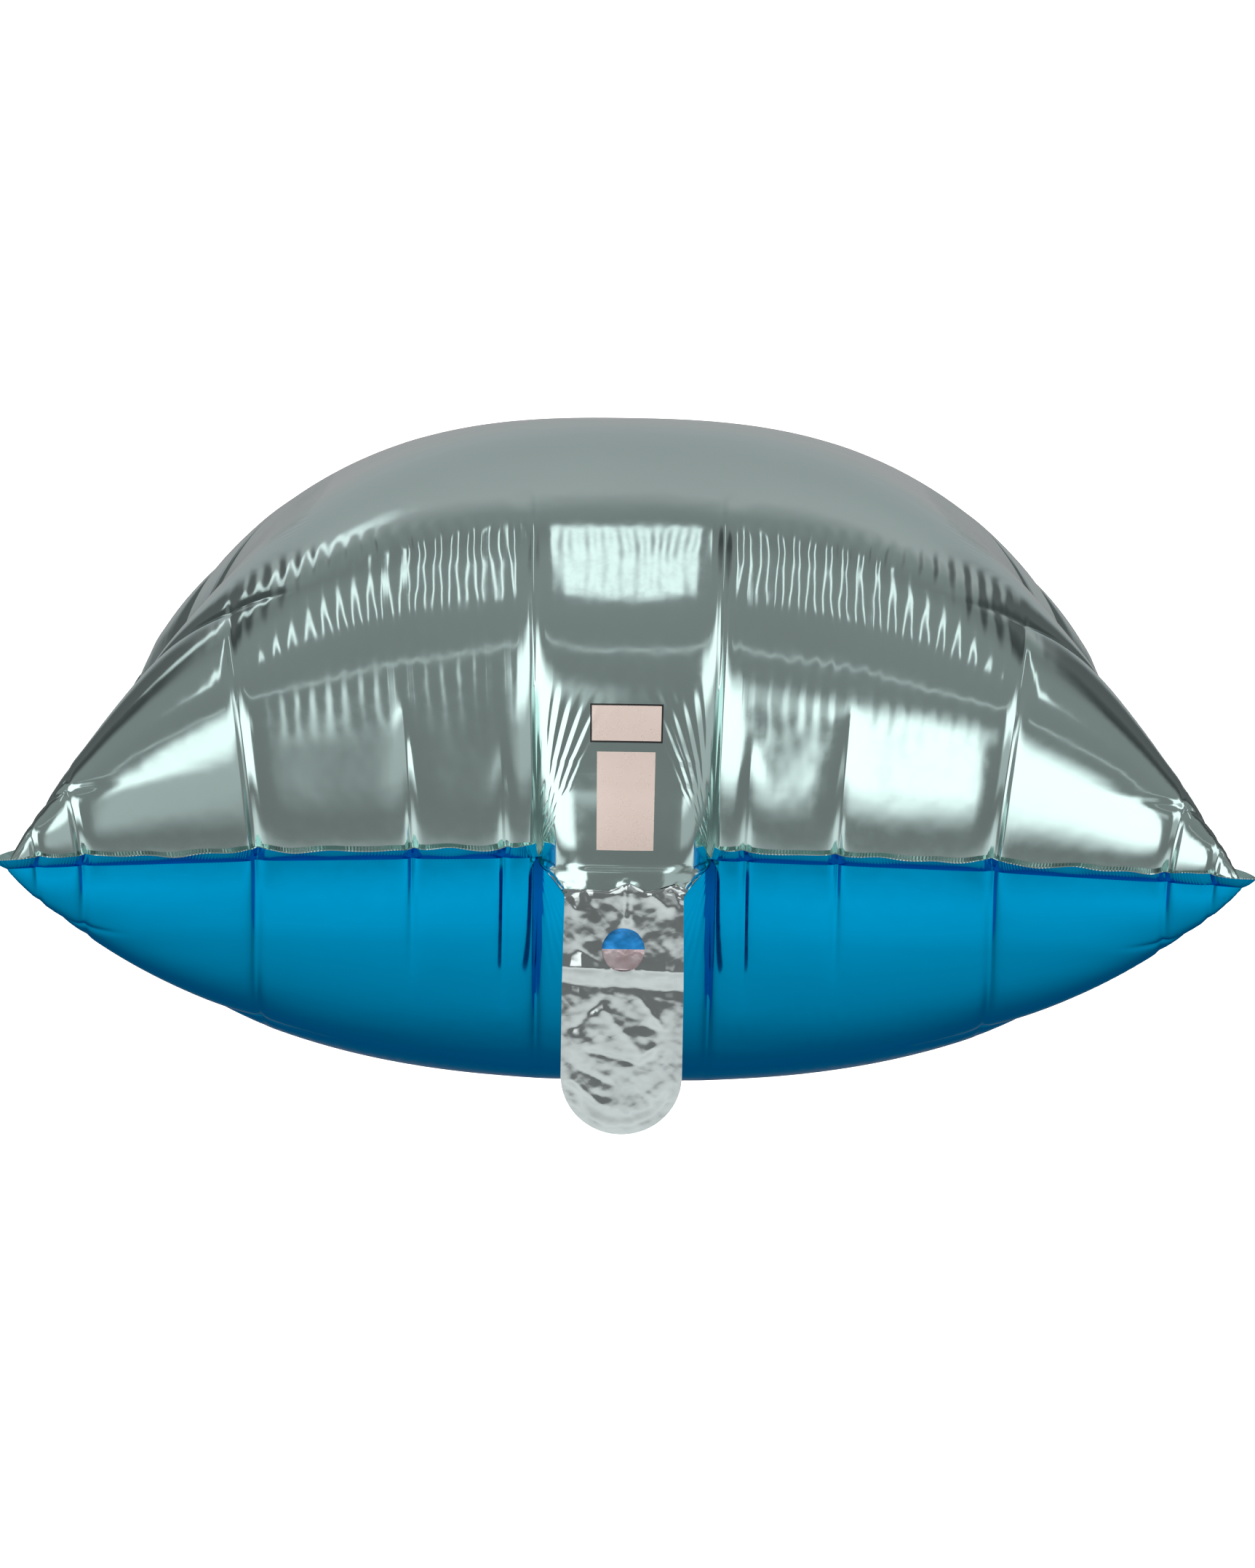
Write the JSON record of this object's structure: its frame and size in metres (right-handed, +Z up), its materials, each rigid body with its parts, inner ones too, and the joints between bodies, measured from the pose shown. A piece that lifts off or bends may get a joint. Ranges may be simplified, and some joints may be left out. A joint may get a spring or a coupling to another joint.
{
  "type": "square foil balloon",
  "caption": "Inflated square foil balloon, mint silver above and blue below, with a crimped seam margin and a hinged filling tail.",
  "frame": {"origin": "centre of the envelope, level with the middles of its seam sides", "axes": "+Z up out of the printed mint film, +X to the right and +Y away from the filling tail"},
  "size_m": [0.4148, 0.4148, 0.2318],
  "materials": {
    "mint_foil": "pale mint ink over mirror-bright metallised film, crinkled at the seam",
    "blue_foil": "transparent blue ink over mirror-bright metallised film",
    "tail_foil": "wrinkled silver metallised film",
    "valve_ink": "glossy deep blue release ink on clear valve film",
    "valve_clear": "clear valve film over the silver inside of the rear ply"
  },
  "bodies": {
    "envelope": {"mint_film": "mint_foil", "blue_film": "blue_foil", "margin_near_left": "mint_foil", "margin_near_right": "mint_foil", "margin_left": "mint_foil", "margin_right": "mint_foil", "margin_far": "mint_foil", "neck_mint_film": "mint_foil", "neck_blue_film": "blue_foil"},
    "tail": {"tail_mint_film": "tail_foil", "tail_blue_film": "blue_foil", "tail_weld": "tail_foil", "valve_inked_film": "valve_ink", "valve_clear_film": "valve_clear"}
  },
  "joints": [
    {"name": "tail_fold", "type": "hinge", "parent": "envelope", "child": "tail", "pos_m": [0, -0.17, -0.011], "axis": [-1, 0, 0], "range_deg": [-12, 115]}
  ]
}
